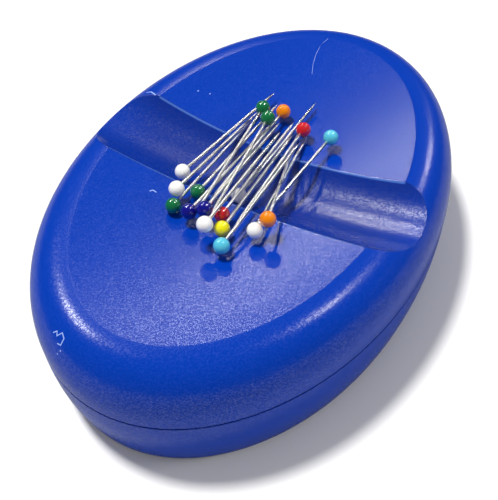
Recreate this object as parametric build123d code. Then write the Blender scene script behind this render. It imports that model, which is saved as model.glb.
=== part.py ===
from build123d import *
from math import asin, atan2, cos, degrees, hypot, pi, radians, sin, sqrt
import os

# Sizes in millimetres. The long axis is X, the trench runs along Y and Z is up.
# Heights are measured from the underside of the base; the feet stand a little below it.

# Outside of the dish
length = 108.0
width = 74.5
base_height = 15.0
widest_height = 16.3
crest_height = 27.1
crest_inset = 8.6
foot_inset = 2.05
foot_edge_radius = 0.5
crown_power_share = 2.6
crown_shares = (0, 0.2, 0.42, 0.6, 0.76, 0.88, 0.95, 1)
hollow_shares = (0, 0.2, 0.36, 0.48)
oval_points = 24
flare_shares = ((0, 1), (0.15, 0.70), (0.35, 0.39), (0.6, 0.13), (0.85, 0.015), (1, 0))

# Dish floor, which starts at the crest
floor_sag = 3.7
dish_shares = (1, 0.85, 0.7, 0.5, 0.3, 0.15, 0.08)

# Trench: a round groove whose bottom line curves up towards both ends
trench_radius = 13.0
trench_bend_radius = 150.0
trench_depth = 2.9
trench_edge_radius = 0.3

# Shells
wall = 2.0
floor_wall = 2.0
seam_gap = 0.35
seam_depth = 0.3
tongue_height = 1.5
tongue_root = 2.0
tongue_width = 1.0
tongue_gap = 0.15

# Screws that join the shells, and the feet over them
screw_x = 30.0
screw_y = 20.0
screw_radius = 1.1
screw_length = 10.0
screw_head_radius = 2.0
screw_head_height = 1.4
screw_seat_height = 9.0
screw_boss_radius = 3.4
hole_gap = 0.05
head_gap = 0.2
boss_gap = 0.05
drive_width = 0.5
drive_length = 2.2
drive_depth = 0.8
well_wall = 1.2
foot_radius = 3.5
foot_proud = 0.5
foot_depth = 1.2
foot_gap = 0.1
foot_round = 0.3

# Magnets and the steel plate that joins their poles
magnet_start = 10.0
magnet_length = 24.0
magnet_width = 24.0
magnet_height = 5.0
magnet_gap = 0.15
pocket_wall = 1.2
pocket_depth = 3.0
yoke_thickness = 1.5
yoke_overhang = 8.0
yoke_corner = 3.0
yoke_screw_radius = 1.0
yoke_screw_length = 6.0
yoke_screw_inset = 4.0

# Pins
head_diameter = 3.1
wire_diameter = 0.65
pin_length = 29.8
point_length = 3.2
point_diameter = 0.1
bore_depth = 2.1
bore_gap = 0.01

# Where each pin lies: number, head colour, head centre along X and Y, height of the head
# above the floor, bearing of its wire in degrees, height of the point above the floor.
# Places and heights are shares of the head's diameter.
pin_shares = (
    ("01", "white", -2.35, 3.79, 0.39, -9.1, 0.54),
    ("02", "white", -4.25, 2.94, 0.67, -2.3, 0.26),
    ("03", "green", -5.11, 2.70, 0.05, -0.4, 0.04),
    ("04", "green", -3.36, 2.01, 0.13, -2.9, 0.60),
    ("05", "dark_blue", -5.32, 1.40, 0.45, -1.6, 0.47),
    ("06", "dark_blue", -5.01, 0.45, 0.89, 0.3, 0.73),
    ("07", "white", -6.43, -0.47, 1.30, 1.2, 1.33),
    ("08", "red", -4.34, -0.30, 0.19, 0.7, 0.44),
    ("09", "yellow", -5.48, -1.00, 0.31, 1.9, 0.43),
    ("10", "light_blue", -6.72, -1.72, 0.34, -0.7, 1.29),
    ("11", "white", -1.86, -0.04, 0.05, -3.6, 0.39),
    ("12", "white", -4.78, -2.83, 0.38, 8.3, 0.14),
    ("13", "orange", -4.24, -3.40, 1.10, 16.3, 0.12),
    ("14", "light_blue", 4.45, -3.30, 0.53, 173.5, 0.05),
    ("15", "red", 4.55, -1.27, 0.42, -178.2, 0.69),
    ("16", "orange", 5.69, 0.83, 0.27, 179.8, 0.69),
    ("17", "green", 3.97, 1.08, 0.98, -171.8, 1.46),
    ("18", "green", 4.79, 1.90, 0.85, -174.6, 0.97),
)
placing_rounds = 20

# Sizes that follow from the ones above
half_length = length / 2
half_width = width / 2
floor_height = crest_height - floor_sag
floor_reach = half_length - crest_inset
floor_ratio = (half_width - crest_inset) / floor_reach
floor_radius = (floor_reach**2 + floor_sag**2) / (2 * floor_sag)
trench_height = floor_height - trench_depth
magnet_top = floor_height - floor_wall - magnet_gap
yoke_top = magnet_top - magnet_height


# Oval outlines
def oval(reach_x, reach_y):
    turns = [2 * pi * (count + 0.5) / oval_points for count in range(oval_points)]
    spots = [(reach_x * cos(turn), reach_y * sin(turn)) for turn in turns]
    return make_face(Spline(*spots, periodic=True))


def level_oval(height, inset):
    return Pos(0, 0, height) * oval(half_length - inset, half_width - inset)


def tower(levels):
    """A solid whose oval outline steps in by the given inset at each height."""
    return loft([level_oval(*level) for level in levels])


def column(inset, bottom, top):
    face = oval(half_length - inset, half_width - inset)
    return Pos(0, 0, bottom) * extrude(face, top - bottom)


def cylinder(x, y, radius, bottom, top):
    return Pos(x, y, bottom) * extrude(Circle(radius), top - bottom)


def block(x, y, size_x, size_y, bottom, top):
    return Pos(x, y, bottom) * extrude(Rectangle(size_x, size_y), top - bottom)


def crown_level(share, lowered=0):
    """One level of the outside between the widest place and the crest."""
    turn = share * pi / 2
    rise = sin(turn) ** (2 / crown_power_share)
    run = 1 - cos(turn) ** (2 / crown_power_share)
    height = widest_height + rise * (crest_height - widest_height)
    return height, run * crest_inset + lowered


def flare_level(share, inset_share, thickness=0, bottom=0):
    height = bottom + share * (base_height - bottom)
    return height, foot_inset * inset_share + thickness


# Dish floor: part of a ball, narrower along Y to suit the oval
def floor_rise(radius):
    return floor_height + floor_radius - sqrt(floor_radius**2 - radius**2)


def dish_ovals(lowered=0):
    radii = [floor_reach * share for share in dish_shares]
    return [Pos(0, 0, floor_rise(radius) - lowered) * oval(radius, radius * floor_ratio)
            for radius in radii]


def sunken_block(levels, ovals):
    """A tower whose flat top is replaced by the hollow skin drawn through the ovals."""
    top = levels[-1][0]
    faces = [face for solid in (tower(levels), loft(ovals)) for face in solid.faces()
             if face.bounding_box().size.Z > seam_gap or abs(face.center().Z - top) > seam_gap]
    return Solid(Shell(faces))


def groove(radius):
    """The trench as a solid: a round bar bent about a high centre."""
    pivot = trench_height + trench_bend_radius
    reach = trench_bend_radius - trench_radius
    half_turn = degrees(asin(half_width / reach)) * 2
    face = Plane.XZ * Pos(0, pivot - reach) * Rot(0, 0, 90) * Circle(radius)
    axis = Axis((0, 0, pivot), (1, 0, 0))
    return revolve(face, axis, 2 * half_turn).rotate(axis, -half_turn)


def floor_at(x, y):
    """Height of the dish or trench surface under a place."""
    floor = floor_rise(hypot(x, y / floor_ratio))
    if abs(x) >= trench_radius:
        return floor
    pivot = trench_height + trench_bend_radius
    bend = sqrt((trench_bend_radius - trench_radius) ** 2 - y**2)
    return min(floor, pivot - bend - sqrt(trench_radius**2 - x**2))


# Places of the screws and feet
corners = [(sx * screw_x, sy * screw_y) for sx in (-1, 1) for sy in (-1, 1)]
yoke_half = magnet_start + magnet_length + yoke_overhang
yoke_places = [(side * (yoke_half - yoke_screw_inset), 0) for side in (-1, 1)]
magnet_middle = magnet_start + magnet_length / 2


def make_top_shell():
    outside = [(base_height, 0)] + [crown_level(share) for share in crown_shares]
    shell = sunken_block(outside, dish_ovals())
    shell -= groove(trench_radius)
    trench = shell.faces().filter_by(GeomType.TORUS)
    reach_y = half_width - crest_inset + seam_gap
    edges = [edge for face in trench for edge in face.edges()
             if -reach_y < edge.bounding_box().min.Y and edge.bounding_box().max.Y < reach_y]
    shell = fillet(edges, trench_edge_radius)

    levels = [(base_height, wall)] + [crown_level(share, wall) for share in hollow_shares]
    hollow = sunken_block(levels, [level_oval(*levels[-1])] + dish_ovals(floor_wall))
    hollow -= groove(trench_radius + wall)

    inner = []
    for side in (-1, 1):
        pocket = magnet_gap + pocket_wall
        frame = block(side * magnet_middle, 0, magnet_length + 2 * pocket,
                      magnet_width + 2 * pocket, magnet_top - pocket_depth, crest_height)
        frame -= block(side * magnet_middle, 0, magnet_length + 2 * magnet_gap,
                       magnet_width + 2 * magnet_gap, magnet_top - pocket_depth, crest_height)
        inner.append(frame)
    for x, y in corners:
        inner.append(cylinder(x, y, screw_boss_radius, base_height + boss_gap, crest_height))
    for x, y in yoke_places:
        inner.append(cylinder(x, y, screw_boss_radius, yoke_top, crest_height))
    shell -= hollow
    for piece in inner:
        shell += piece & hollow
    for x, y in corners:
        top = screw_seat_height + screw_length
        shell -= cylinder(x, y, screw_radius + hole_gap, base_height, top + hole_gap)
    for x, y in yoke_places:
        top = yoke_top - yoke_thickness + yoke_screw_length
        shell -= cylinder(x, y, yoke_screw_radius + hole_gap, yoke_top, top + hole_gap)
    seam = column(-seam_depth, base_height, base_height + seam_gap)
    seam -= column(seam_depth, base_height, base_height + seam_gap)
    return shell - seam


def make_base_shell():
    body = tower([flare_level(*level) for level in flare_shares])
    body = fillet(body.edges().group_by(Axis.Z)[0], foot_edge_radius)
    hollow = tower([flare_level(share, part, wall, floor_wall) for share, part in flare_shares])
    outer = wall + tongue_gap
    tongue = column(outer, base_height - tongue_root, base_height + tongue_height)
    tongue += column(wall / 2, base_height - tongue_root, base_height)
    tongue -= column(outer + tongue_width, base_height - tongue_root, base_height + tongue_height)
    shell = body - hollow + tongue
    for x, y in corners:
        low = cylinder(x, y, foot_radius + foot_gap + well_wall, 0, foot_depth + floor_wall)
        high = cylinder(x, y, screw_boss_radius, 0, base_height - boss_gap)
        shell += low & body
        shell += high
    for x, y in corners:
        shell -= cylinder(x, y, foot_radius + foot_gap, 0, foot_depth)
        shell -= cylinder(x, y, screw_head_radius + head_gap, 0, screw_seat_height)
        shell -= cylinder(x, y, screw_radius + hole_gap, 0, base_height)
    return shell


# Fixings
def screw(x, y, radius, head_radius, seat, shaft_length):
    """A pan-head screw driven upwards, its head below the seat; thread left plain."""
    piece = cylinder(x, y, radius, seat, seat + shaft_length)
    bottom = seat - screw_head_height
    piece += cylinder(x, y, head_radius, bottom, seat)
    cross = block(x, y, drive_length, drive_width, bottom, bottom + drive_depth)
    cross += block(x, y, drive_width, drive_length, bottom, bottom + drive_depth)
    return piece - cross


def make_foot(x, y):
    body = cylinder(x, y, foot_radius, -foot_proud, foot_depth)
    return fillet(body.edges().group_by(Axis.Z)[0], foot_round)


def make_magnet(side):
    return block(side * magnet_middle, 0, magnet_length, magnet_width, yoke_top, magnet_top)


def make_yoke():
    face = RectangleRounded(2 * yoke_half, magnet_width, yoke_corner)
    plate = Pos(0, 0, yoke_top - yoke_thickness) * extrude(face, yoke_thickness)
    for x, y in yoke_places:
        plate -= cylinder(x, y, yoke_screw_radius + hole_gap, yoke_top - yoke_thickness, yoke_top)
    return plate


# Pins
def pin_line(x, y, lift, bearing, point_lift):
    """Head centre and direction of a pin whose ends lie at the given heights."""
    x, y = x * head_diameter, y * head_diameter
    z = floor_at(x, y) + head_diameter / 2 + lift * head_diameter
    ahead = (cos(radians(bearing)), sin(radians(bearing)))
    run = pin_length
    for step in range(placing_rounds):
        floor = floor_at(x + run * ahead[0], y + run * ahead[1])
        drop = floor + wire_diameter / 2 + point_lift * head_diameter - z
        run = sqrt(pin_length**2 - drop**2)
    return Plane(origin=(x, y, z), z_dir=(run * ahead[0], run * ahead[1], drop))


def make_pin(place):
    radius = wire_diameter / 2
    start = head_diameter / 2 - bore_depth
    shoulder = pin_length - point_length
    outline = Polyline((0, start), (radius, start), (radius, shoulder),
                       (point_diameter / 2, pin_length), (0, pin_length), (0, start))
    wire = revolve(make_face(Plane.XZ * outline), Axis.Z)
    bore = Pos(0, 0, start) * extrude(Circle(radius + bore_gap), head_diameter)
    head = Sphere(head_diameter / 2) - bore
    return place.location * wire, place.location * head


nodes = {"top_shell": make_top_shell(), "base_shell": make_base_shell()}
nodes["magnet_left"] = make_magnet(-1)
nodes["magnet_right"] = make_magnet(1)
nodes["yoke_plate"] = make_yoke()
nodes["yoke_screws"] = Compound(children=[
    screw(x, y, yoke_screw_radius, screw_head_radius, yoke_top - yoke_thickness, yoke_screw_length)
    for x, y in yoke_places])
nodes["base_screws"] = Compound(children=[
    screw(x, y, screw_radius, screw_head_radius, screw_seat_height, screw_length)
    for x, y in corners])
for number, (x, y) in enumerate(corners, 1):
    nodes["foot_%02d" % number] = make_foot(x, y)
for number, colour, *place in pin_shares:
    wire, head = make_pin(pin_line(*place))
    nodes["pin_%s_wire" % number] = wire
    nodes["pin_%s_head_%s" % (number, colour)] = head

os.makedirs("parts", exist_ok=True)
for name, shape in nodes.items():
    export_step(Pos(0, 0, foot_proud) * shape, "parts/%s.step" % name)
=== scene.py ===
import math

import bmesh
import bpy
from mathutils import Matrix, Vector


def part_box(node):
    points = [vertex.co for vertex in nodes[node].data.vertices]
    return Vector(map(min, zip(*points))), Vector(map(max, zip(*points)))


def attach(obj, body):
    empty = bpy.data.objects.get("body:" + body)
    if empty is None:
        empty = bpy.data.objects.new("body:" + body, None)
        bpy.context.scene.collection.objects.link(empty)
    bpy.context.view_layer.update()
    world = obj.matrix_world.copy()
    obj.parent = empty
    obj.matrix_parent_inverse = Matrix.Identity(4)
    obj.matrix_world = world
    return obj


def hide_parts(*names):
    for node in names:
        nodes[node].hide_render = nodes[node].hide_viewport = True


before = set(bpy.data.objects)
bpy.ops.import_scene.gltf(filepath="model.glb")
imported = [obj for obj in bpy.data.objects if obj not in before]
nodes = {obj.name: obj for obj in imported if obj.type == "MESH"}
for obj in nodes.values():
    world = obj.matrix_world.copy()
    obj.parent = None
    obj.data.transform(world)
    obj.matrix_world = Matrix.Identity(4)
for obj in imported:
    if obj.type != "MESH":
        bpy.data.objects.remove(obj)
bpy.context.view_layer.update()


# Upper and lower shell: two injection mouldings in blue plastic, joined at the parting line.
# The mould was spark eroded, so the skin has a fine even grain that glitters in the highlights,
# and use has left a few scratches and nicks on the rim and in the dish.
shell_blue = (0.0, 0.036, 0.36)
# Darker blue of the trench: painted shade in the trench.
trench_shade_blue = (0.0, 0.024, 0.26)
# Lighter blue and its share along the trench's edges: a painted highlight.
edge_highlight_blue = (0.10, 0.24, 0.72)
edge_highlight_share = 0.6
worn_blue = (0.30, 0.42, 0.80)
shell_mottle = 0.10
shell_roughness = 0.24
shell_shine = 0.08
round_radius = 0.0006

# The glittering skin is a coat, thinner or thicker from grain to grain.
skin_ior = 2.2
skin_roughness = 0.25
skin_share = 0.13
floor_skin_share = 0.12
trench_skin_share = 0.60
grain_size = 0.00031
grain_depth = 0.000012
floor_grain_depth = 0.000020
grain_range = (0.40, 0.66)
sparkle_power = 1.5
sparkle_gain = 2.6
sparkle_least = 0.25

# Scratches and nicks as lines in millimetres, each with its half width.
wear_lines = [
    (0.10, [(-49.1, 10.5, 25.6), (-48.8, 9.8, 26.1), (-49.4, 9.5, 25.7), (-48.8, 8.6, 26.4),
            (-49.5, 7.8, 26.2), (-50.4, 8.0, 25.3), (-50.3, 8.8, 25.1)]),
    (0.12, [(-51.0, 7.7, 24.7), (-51.1, 7.8, 24.6)]),
    (0.12, [(-51.4, 8.3, 23.8), (-51.4, 8.4, 23.8)]),
    (0.12, [(-13.8, 15.2, 25.3), (-13.3, 14.9, 25.2), (-13.4, 14.1, 25.1)]),
    (0.15, [(9.3, 31.6, 27.2), (9.7, 30.7, 27.4), (9.1, 29.2, 27.6)]),
    (0.15, [(-5.2, 33.1, 26.1), (-5.7, 30.7, 25.8)]),
    (0.04, [(44.7, 5.2, 27.6), (42.2, 5.8, 27.2), (39.2, 5.5, 26.8), (36.0, 4.7, 26.3),
            (33.1, 3.5, 25.9)]),
    (0.14, [(15.5, 22.4, 26.6), (15.6, 22.4, 26.6)]),
    (0.14, [(16.3, 19.9, 26.1), (16.4, 19.9, 26.1)]),
]
mark_fade = (1.3, 0.6)

# The dish floor and the trench as formulas in millimetres, to tell where the grain changes,
# and the distances over which each mask goes from nothing to all.
floor_middle = 23.9
floor_ball = 280.4
floor_reach = (45.4, 28.65)
trench_middle = 21.0
trench_ball = 137.0
trench_round = 13.0
rim_fade = (1.01, 0.985)
under_floor_fade = (-0.6, -0.3)
trench_side_fade = (0.0, 0.2)
off_channel_fade = (0.4, 0.15)
edge_highlight_fade = (0.22, 0.05)


def start_material(name, colour, roughness=0.5):
    made = bpy.data.materials.new(name)
    made.use_nodes = True
    shader = made.node_tree.nodes["Principled BSDF"]
    shader.inputs["Base Color"].default_value = (*colour, 1.0)
    shader.inputs["Roughness"].default_value = roughness
    return made, made.node_tree, shader


def fill_sockets(tree, sockets, values):
    """Sets each socket to its value, or links it where the value is a socket itself."""
    for key, value in values.items():
        if isinstance(value, bpy.types.NodeSocket):
            tree.links.new(value, sockets[key])
        else:
            sockets[key].default_value = value


def add_node(tree, kind, inputs=(), **settings):
    made = tree.nodes.new(kind)
    for name, value in settings.items():
        setattr(made, name, value)
    fill_sockets(tree, made.inputs, dict(inputs))
    return made


def math_node(tree, operation, *values, clamp=False):
    return add_node(tree, "ShaderNodeMath", dict(enumerate(values)), operation=operation,
                    use_clamp=clamp).outputs[0]


def vector_node(tree, operation, *values, result=0):
    made = add_node(tree, "ShaderNodeVectorMath", dict(enumerate(values)), operation=operation)
    return made.outputs[result]


def scale_vector(tree, vector, factor):
    return add_node(tree, "ShaderNodeVectorMath", {0: vector, 3: factor},
                    operation="SCALE").outputs[0]


def ramp(tree, value, start, end):
    """0 at the start value and 1 at the end value."""
    return add_node(tree, "ShaderNodeMapRange", {0: value, 1: start, 2: end}).outputs[0]


def mix_number(tree, share, low, high):
    return add_node(tree, "ShaderNodeMapRange", {0: share, 3: low, 4: high}).outputs[0]


def mix_colour(tree, share, low, high):
    """A colour between two, each given as a tuple or as a socket."""
    ends = [(*end, 1.0) if isinstance(end, tuple) else end for end in (low, high)]
    return add_node(tree, "ShaderNodeMix", {0: share, 6: ends[0], 7: ends[1]},
                    data_type="RGBA").outputs[2]


def start_group(name, inputs, outputs):
    """A node group with its sockets; returns the tree and the sockets of its two ends."""
    tree = bpy.data.node_groups.new(name, "ShaderNodeTree")
    for in_out, sockets in (("INPUT", inputs), ("OUTPUT", outputs)):
        for label, kind in sockets.items():
            tree.interface.new_socket(label, in_out=in_out, socket_type="NodeSocket" + kind)
    return tree, tree.nodes.new("NodeGroupInput").outputs, tree.nodes.new("NodeGroupOutput").inputs


def use_group(tree, group, **inputs):
    made = tree.nodes.new("ShaderNodeGroup")
    made.node_tree = group
    fill_sockets(tree, made.inputs, inputs)
    return made.outputs


def make_grain_group():
    """Fine grain on a surface: its height as a normal, and how high each spot stands."""
    tree, given, out = start_group("Fine grain", {"Size": "Float", "Depth": "Float"},
                                   {"Normal": "Vector", "Height": "Float"})
    place = add_node(tree, "ShaderNodeTexCoord").outputs["Object"]
    scale = math_node(tree, "DIVIDE", 1.0, given["Size"])
    noise = add_node(tree, "ShaderNodeTexNoise",
                     {"Vector": place, "Scale": scale, "Detail": 1.0, "Roughness": 0.5})
    soft = add_node(tree, "ShaderNodeBevel", {"Radius": round_radius}, samples=4)
    bump = add_node(tree, "ShaderNodeBump", {"Height": noise.outputs[0], "Strength": 1.0,
                                             "Distance": given["Depth"],
                                             "Normal": soft.outputs[0]})
    tree.links.new(bump.outputs[0], out["Normal"])
    tree.links.new(noise.outputs[0], out["Height"])
    return tree


def make_zone_group():
    """Masks for the dish floor, for the trench and for the edges where the trench cuts it, the
    last for a painted highlight.
    """
    tree, _, out = start_group("Dish zones", {},
                               {"Floor": "Float", "Edge highlight": "Float", "Trench": "Float"})
    place = add_node(tree, "ShaderNodeTexCoord").outputs["Object"]
    parts = add_node(tree, "ShaderNodeSeparateXYZ", {0: place}).outputs
    x, y, z = [math_node(tree, "MULTIPLY", part, 1000.0) for part in parts]
    shares = [math_node(tree, "POWER", math_node(tree, "DIVIDE", part, reach), 2.0)
              for part, reach in zip((x, y), floor_reach)]
    share = math_node(tree, "ADD", *shares)
    floor = math_node(tree, "MULTIPLY_ADD", share, floor_reach[0] ** 2 / (2 * floor_ball),
                      floor_middle)
    across = math_node(tree, "SUBTRACT", trench_round ** 2, math_node(tree, "POWER", x, 2.0))
    side = math_node(tree, "SQRT", math_node(tree, "MAXIMUM", across, 0.0))
    along = math_node(tree, "MULTIPLY_ADD", math_node(tree, "POWER", y, 2.0), 0.5 / trench_ball,
                      trench_middle + trench_round)
    channel = math_node(tree, "SUBTRACT", along, side)
    above = math_node(tree, "SUBTRACT", channel, floor)

    inside = ramp(tree, share, *rim_fade)
    high = ramp(tree, math_node(tree, "SUBTRACT", z, floor), *under_floor_fade)
    dish = math_node(tree, "MULTIPLY", inside, high)
    beside = ramp(tree, above, *trench_side_fade)
    off_channel = math_node(tree, "ABSOLUTE", math_node(tree, "SUBTRACT", z, channel))
    # A band along the trench's edges, for a painted highlight.
    line = ramp(tree, math_node(tree, "ABSOLUTE", above), *edge_highlight_fade)
    tree.links.new(math_node(tree, "MULTIPLY", dish, beside), out["Floor"])
    tree.links.new(math_node(tree, "MULTIPLY", dish, line), out["Edge highlight"])
    tree.links.new(ramp(tree, off_channel, *off_channel_fade), out["Trench"])
    return tree


def make_line_group():
    """A mask for a straight scratch between two places, given in millimetres."""
    tree, given, out = start_group("Scratch", {"From": "Vector", "To": "Vector", "Width": "Float"},
                                   {"Mark": "Float"})
    place = add_node(tree, "ShaderNodeTexCoord").outputs["Object"]
    place = vector_node(tree, "MULTIPLY", place, (1000.0, 1000.0, 1000.0))
    here = vector_node(tree, "SUBTRACT", place, given["From"])
    reach = vector_node(tree, "SUBTRACT", given["To"], given["From"])
    share = math_node(tree, "DIVIDE", vector_node(tree, "DOT_PRODUCT", here, reach, result=1),
                      vector_node(tree, "DOT_PRODUCT", reach, reach, result=1))
    near = scale_vector(tree, reach, ramp(tree, share, 0.0, 1.0))
    away = vector_node(tree, "LENGTH", vector_node(tree, "SUBTRACT", here, near), result=1)
    fade = math_node(tree, "DIVIDE", away, given["Width"])
    tree.links.new(ramp(tree, fade, *mark_fade), out["Mark"])
    return tree


grain = make_grain_group()
zones = make_zone_group()
scratch = make_line_group()


def skin_weight(tree, zone, grit):
    """The weight of the coat: a share for each zone, times the glitter of each grain."""
    skin = mix_number(tree, zone["Floor"], skin_share, floor_skin_share)
    gain = math_node(tree, "MULTIPLY", zone["Trench"], trench_skin_share - skin_share)
    skin = math_node(tree, "ADD", skin, gain)
    sparkle = math_node(tree, "MULTIPLY_ADD", math_node(tree, "POWER", grit, sparkle_power),
                        sparkle_gain, sparkle_least)
    return math_node(tree, "MULTIPLY", skin, sparkle, clamp=True)


def shell_colour(tree, zone, grit):
    """The blue of each zone, mottled by the grain, darker in the trench as painted shade, lighter
    along the trench's edges as a painted highlight, with scratches and nicks.
    """
    # The trench's darker blue is painted shade.
    colour = mix_colour(tree, zone["Trench"], shell_blue, trench_shade_blue)
    tint = mix_number(tree, grit, 1 - shell_mottle / 2, 1 + shell_mottle)
    colour = scale_vector(tree, colour, tint)
    # The lighter blue along the trench's edges is a painted highlight.
    edge_highlight_mask = math_node(tree, "MULTIPLY", zone["Edge highlight"], edge_highlight_share)
    colour = mix_colour(tree, edge_highlight_mask, colour, edge_highlight_blue)
    marks = [use_group(tree, scratch, From=start, To=end, Width=width)["Mark"]
             for width, spots in wear_lines for start, end in zip(spots, spots[1:])]
    worn = marks[0]
    for mark in marks[1:]:
        worn = math_node(tree, "MAXIMUM", worn, mark)
    return mix_colour(tree, worn, colour, worn_blue)


def make_shell_material():
    made, tree, shader = start_material("moulded blue plastic", shell_blue, shell_roughness)
    zone = use_group(tree, zones)
    grained = math_node(tree, "MAXIMUM", zone["Floor"], zone["Trench"])
    depth = mix_number(tree, grained, grain_depth, floor_grain_depth)
    fine = use_group(tree, grain, Size=grain_size, Depth=depth)
    grit = ramp(tree, fine["Height"], *grain_range)
    fill_sockets(tree, shader.inputs, {
        "Base Color": shell_colour(tree, zone, grit),
        "Normal": fine["Normal"],
        "Specular IOR Level": shell_shine,
        "Coat Weight": skin_weight(tree, zone, grit),
        "Coat IOR": skin_ior,
        "Coat Roughness": skin_roughness,
    })
    return made


def finish_node(name, material):
    """Gives a CAD node its material."""
    mesh = nodes[name].data
    mesh.materials.clear()
    mesh.materials.append(material)


shell_plastic = make_shell_material()
for name in ("top_shell", "base_shell"):
    finish_node(name, shell_plastic)


# Pin wires: drawn steel, 0.65 mm thick, plated bright with nickel and ground to a point.
# Each lies where its CAD node lies, with its blunt end moulded into the head.
wire_colour = (0.92, 0.90, 0.86)
wire_roughness = (0.26, 0.42)
wire_cloud_size = 0.004
wire_radius = 0.000325
wire_sides = 20
wire_steps = 6
blunt_end = -0.00045
blunt_share = 0.2
point_length = 0.0032
point_radius = 0.00004
point_taper = [(0.93, 0.2), (0.72, 0.5), (0.4, 0.8)]
drift_range = (0.3, 0.7)


def drift(tree, height, low, high):
    """A roughness that drifts between two values with the grain's height."""
    return add_node(tree, "ShaderNodeMapRange", {0: height, 1: drift_range[0], 2: drift_range[1],
                                                 3: low, 4: high}).outputs[0]


def wire_line(number):
    """Head centre and the direction to the point, read from the pin's CAD nodes."""
    head = next(name for name in nodes if name.startswith("pin_%s_head" % number))
    low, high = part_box(head)
    centre = (low + high) / 2
    spots = [vertex.co.copy() for vertex in nodes["pin_%s_wire" % number].data.vertices]
    tip = max(spots, key=lambda spot: (spot - centre).length)
    return head, centre, tip - centre


def turned_mesh(name, profile, sides):
    """A closed round shape from a profile of (radius, height) about Z."""
    shape = bmesh.new()
    spots = [shape.verts.new((radius, 0.0, height)) for radius, height in profile]
    edges = [shape.edges.new(pair) for pair in zip(spots, spots[1:])]
    bmesh.ops.spin(shape, geom=spots + edges, cent=(0, 0, 0), axis=(0, 0, 1), dvec=(0, 0, 0),
                   angle=math.tau, steps=sides, use_merge=True, use_duplicate=False)
    bmesh.ops.remove_doubles(shape, verts=shape.verts, dist=1e-7)
    bmesh.ops.recalc_face_normals(shape, faces=shape.faces)
    for face in shape.faces:
        face.smooth = True
    mesh = bpy.data.meshes.new(name)
    shape.to_mesh(mesh)
    shape.free()
    return mesh


def place_piece(mesh, material, turn, body, node):
    """Sets a shape in its place on a body, in front of the CAD node that it stands for."""
    mesh.transform(turn)
    mesh.materials.append(material)
    piece = bpy.data.objects.new(mesh.name, mesh)
    bpy.context.scene.collection.objects.link(piece)
    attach(piece, body)
    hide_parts(node)


def make_wire_material():
    made, tree, shader = start_material("nickel plated wire", wire_colour)
    cloud = use_group(tree, grain, Size=wire_cloud_size, Depth=0.0)
    fill_sockets(tree, shader.inputs, {
        "Metallic": 1.0,
        "Roughness": drift(tree, cloud["Height"], *wire_roughness),
    })
    return made


plated_wire = make_wire_material()
pin_numbers = sorted(name[4:6] for name in nodes if name.endswith("_wire"))
pin_turns = {}
for number in pin_numbers:
    head, centre, ahead = wire_line(number)
    length = ahead.length
    shoulder = length - point_length
    profile = [(0.0, blunt_end), (wire_radius * (1 - blunt_share), blunt_end),
               (wire_radius, blunt_end + wire_radius * blunt_share)]
    profile += [(wire_radius, shoulder * step / wire_steps) for step in range(1, wire_steps + 1)]
    profile += [(wire_radius * thick, shoulder + point_length * far)
                for thick, far in point_taper]
    profile += [(point_radius, length - point_radius), (0.0, length)]
    mesh = turned_mesh("wire_" + number, profile, wire_sides)
    turn = Matrix.Translation(centre) @ ahead.to_track_quat("Z", "Y").to_matrix().to_4x4()
    pin_turns[number] = (head, turn)
    place_piece(mesh, plated_wire, turn, "pin_" + number, "pin_%s_wire" % number)


# Pin heads: glossy balls of coloured plastic, 3.1 mm across, moulded round the wire's end,
# with a low collar where the wire goes in and a faint unevenness from the tiny mould.
head_radius = 0.00155
head_sides = 36
head_steps = 20
collar_radius = 0.00052
collar_reach = 0.00012
collar_lip = 1.25
head_roughness = (0.10, 0.22)
head_coat_ior = 1.9
head_coat_roughness = 0.10
head_grain_size = 0.0012
head_grain_depth = 0.00001
head_colours = {
    "white": (0.98, 0.97, 0.94),
    "green": (0.004, 0.16, 0.05),
    "dark_blue": (0.004, 0.004, 0.22),
    "red": (0.62, 0.012, 0.018),
    "yellow": (0.90, 0.80, 0.0),
    "light_blue": (0.10, 0.58, 0.76),
    "orange": (0.90, 0.24, 0.0),
}


def make_head_material(colour):
    made, tree, shader = start_material("pin head " + colour.replace("_", " "),
                                        head_colours[colour])
    fine = use_group(tree, grain, Size=head_grain_size, Depth=head_grain_depth)
    fill_sockets(tree, shader.inputs, {
        "Normal": fine["Normal"],
        "Roughness": drift(tree, fine["Height"], *head_roughness),
        "Coat Weight": 1.0,
        "Coat IOR": head_coat_ior,
        "Coat Roughness": head_coat_roughness,
    })
    return made


head_plastics = {colour: make_head_material(colour) for colour in head_colours}
start_turn = math.asin(collar_radius / head_radius)
mouth = head_radius * math.cos(start_turn)
head_profile = [(0.0, mouth + collar_reach), (wire_radius, mouth + collar_reach),
                (wire_radius * collar_lip, mouth + collar_reach / 2)]
for step in range(head_steps + 1):
    angle = start_turn + (math.pi - start_turn) * step / head_steps
    head_profile.append((head_radius * math.sin(angle), head_radius * math.cos(angle)))
head_profile[-1] = (0.0, -head_radius)
for number, (head, turn) in pin_turns.items():
    colour = head.split("_head_")[1]
    mesh = turned_mesh("head_%s_%s" % (number, colour), head_profile, head_sides)
    place_piece(mesh, head_plastics[colour], turn, "pin_" + number, head)


# Inside and underneath: ferrite magnets, their steel yoke, zinc-plated screws and rubber feet.
# They are the CAD solids as they are, each in its own material.
least_rough = 0.8
most_rough = 1.25


def make_plain_material(name, colour, roughness, metallic, size, depth):
    made, tree, shader = start_material(name, colour)
    fine = use_group(tree, grain, Size=size, Depth=depth)
    rough = drift(tree, fine["Height"], roughness * least_rough, roughness * most_rough)
    fill_sockets(tree, shader.inputs, {
        "Metallic": metallic,
        "Normal": fine["Normal"],
        "Roughness": rough,
    })
    return made


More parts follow.
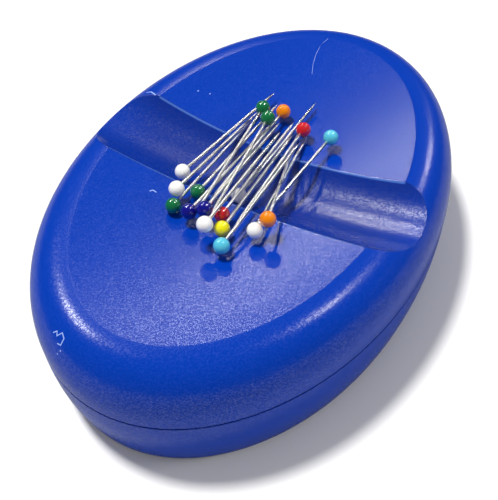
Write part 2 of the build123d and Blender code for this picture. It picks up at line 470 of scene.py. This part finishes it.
ferrite = make_plain_material(
    "pressed ferrite", (0.035, 0.035, 0.038), 0.6, 0.0, 0.0006, 0.00005)
yoke_steel = make_plain_material(
    "yoke steel", (0.48, 0.48, 0.49), 0.35, 1.0, 0.001, 0.00001)
screw_steel = make_plain_material(
    "zinc plated screws", (0.60, 0.61, 0.62), 0.3, 1.0, 0.0008, 0.00001)
foot_rubber = make_plain_material(
    "black rubber", (0.02, 0.02, 0.021), 0.75, 0.0, 0.0005, 0.00004)
for start, material in {"magnet_": ferrite, "yoke_plate": yoke_steel, "yoke_screws": screw_steel,
                        "base_screws": screw_steel, "foot_": foot_rubber}.items():
    for name in nodes:
        if name.startswith(start):
            finish_node(name, material)


# Studio: a white table under a white sky. The sky and two lamps give light and shadow, and five
# lamps give only shine. In mirror images the table and the sky are darker than they look.
table_half = 1.5
table_white = (0.91, 0.90, 0.875)
mirrored_table_grey = (0.42, 0.42, 0.42)
table_roughness = 0.9
sky_level = 0.38
mirrored_sky_level = 0.03

shape = bmesh.new()
bmesh.ops.create_grid(shape, x_segments=1, y_segments=1, size=table_half)
mesh = bpy.data.meshes.new("table")
shape.to_mesh(mesh)
shape.free()
table = bpy.data.objects.new("table", mesh)
bpy.context.scene.collection.objects.link(table)
white, tree, shader = start_material("white table", table_white, table_roughness)
mirrored = add_node(tree, "ShaderNodeLightPath").outputs["Is Glossy Ray"]
fill_sockets(tree, shader.inputs, {
    "Base Color": mix_colour(tree, mirrored, table_white, mirrored_table_grey),
    "Specular IOR Level": 0.0,
})
mesh.materials.append(white)

world = bpy.data.worlds.new("white sky")
bpy.context.scene.world = world
world.use_nodes = True
tree = world.node_tree
mirrored = add_node(tree, "ShaderNodeLightPath").outputs["Is Glossy Ray"]
fill_sockets(tree, tree.nodes["Background"].inputs, {
    "Color": (1, 1, 1, 1),
    "Strength": mix_number(tree, mirrored, sky_level, mirrored_sky_level),
})

# Each lamp's name, the way to it, its width and power, and whether it gives shine or light.
lamp_distance = 0.9
lamps = [
    ("main lamp", (-0.03, 0.29, 0.95), 0.14, 8.0, False),
    ("fill from the right", (0.45, -0.80, 0.40), 0.30, 1.8, False),
    ("shine behind", (0.635, 0.468, 0.612), 0.05, 0.55, True),
    ("shine on the trench", (0.47, 0.47, 0.75), 0.09, 0.55, True),
    ("shine left", (0.10, 0.58, 0.81), 0.07, 2.3, True),
    ("shine right", (0.36, -0.24, 0.90), 0.07, 1.5, True),
    ("shine far right", (0.79, -0.18, 0.58), 0.06, 1.0, True),
]
for name, way, width, power, shines in lamps:
    light = bpy.data.lights.new(name, "AREA")
    light.shape = "DISK"
    light.size = width
    light.energy = power
    lamp = bpy.data.objects.new(name, light)
    bpy.context.scene.collection.objects.link(lamp)
    lamp.visible_glossy = shines
    lamp.visible_diffuse = not shines
    way = Vector(way).normalized()
    lamp.rotation_mode = "QUATERNION"
    lamp.rotation_quaternion = way.to_track_quat("Z", "Y")
    lamp.location = way * lamp_distance

# Camera, fitted to the photograph: its place, the way behind it and its roll in radians.
camera_back = Vector((-0.5535, -0.33746, 0.76142)).normalized()
camera_roll = -0.0427
camera_place = Vector((-0.093704, -0.055431, 0.129619))
focal_share = 758.7 / 500
sensor_width = 36.0
eye = bpy.data.cameras.new("camera")
eye.sensor_width = sensor_width
eye.lens = focal_share * sensor_width
eye.clip_start = 0.001
camera = bpy.data.objects.new("camera", eye)
bpy.context.scene.collection.objects.link(camera)
side = Vector((0, 0, 1)).cross(camera_back).normalized()
up = camera_back.cross(side)
right = side * math.cos(camera_roll) + up * math.sin(camera_roll)
top = up * math.cos(camera_roll) - side * math.sin(camera_roll)
turn = Matrix((right, top, camera_back)).transposed().to_4x4()
camera.matrix_world = Matrix.Translation(camera_place) @ turn
bpy.context.scene.camera = camera
bpy.context.scene.view_settings.view_transform = "Standard"
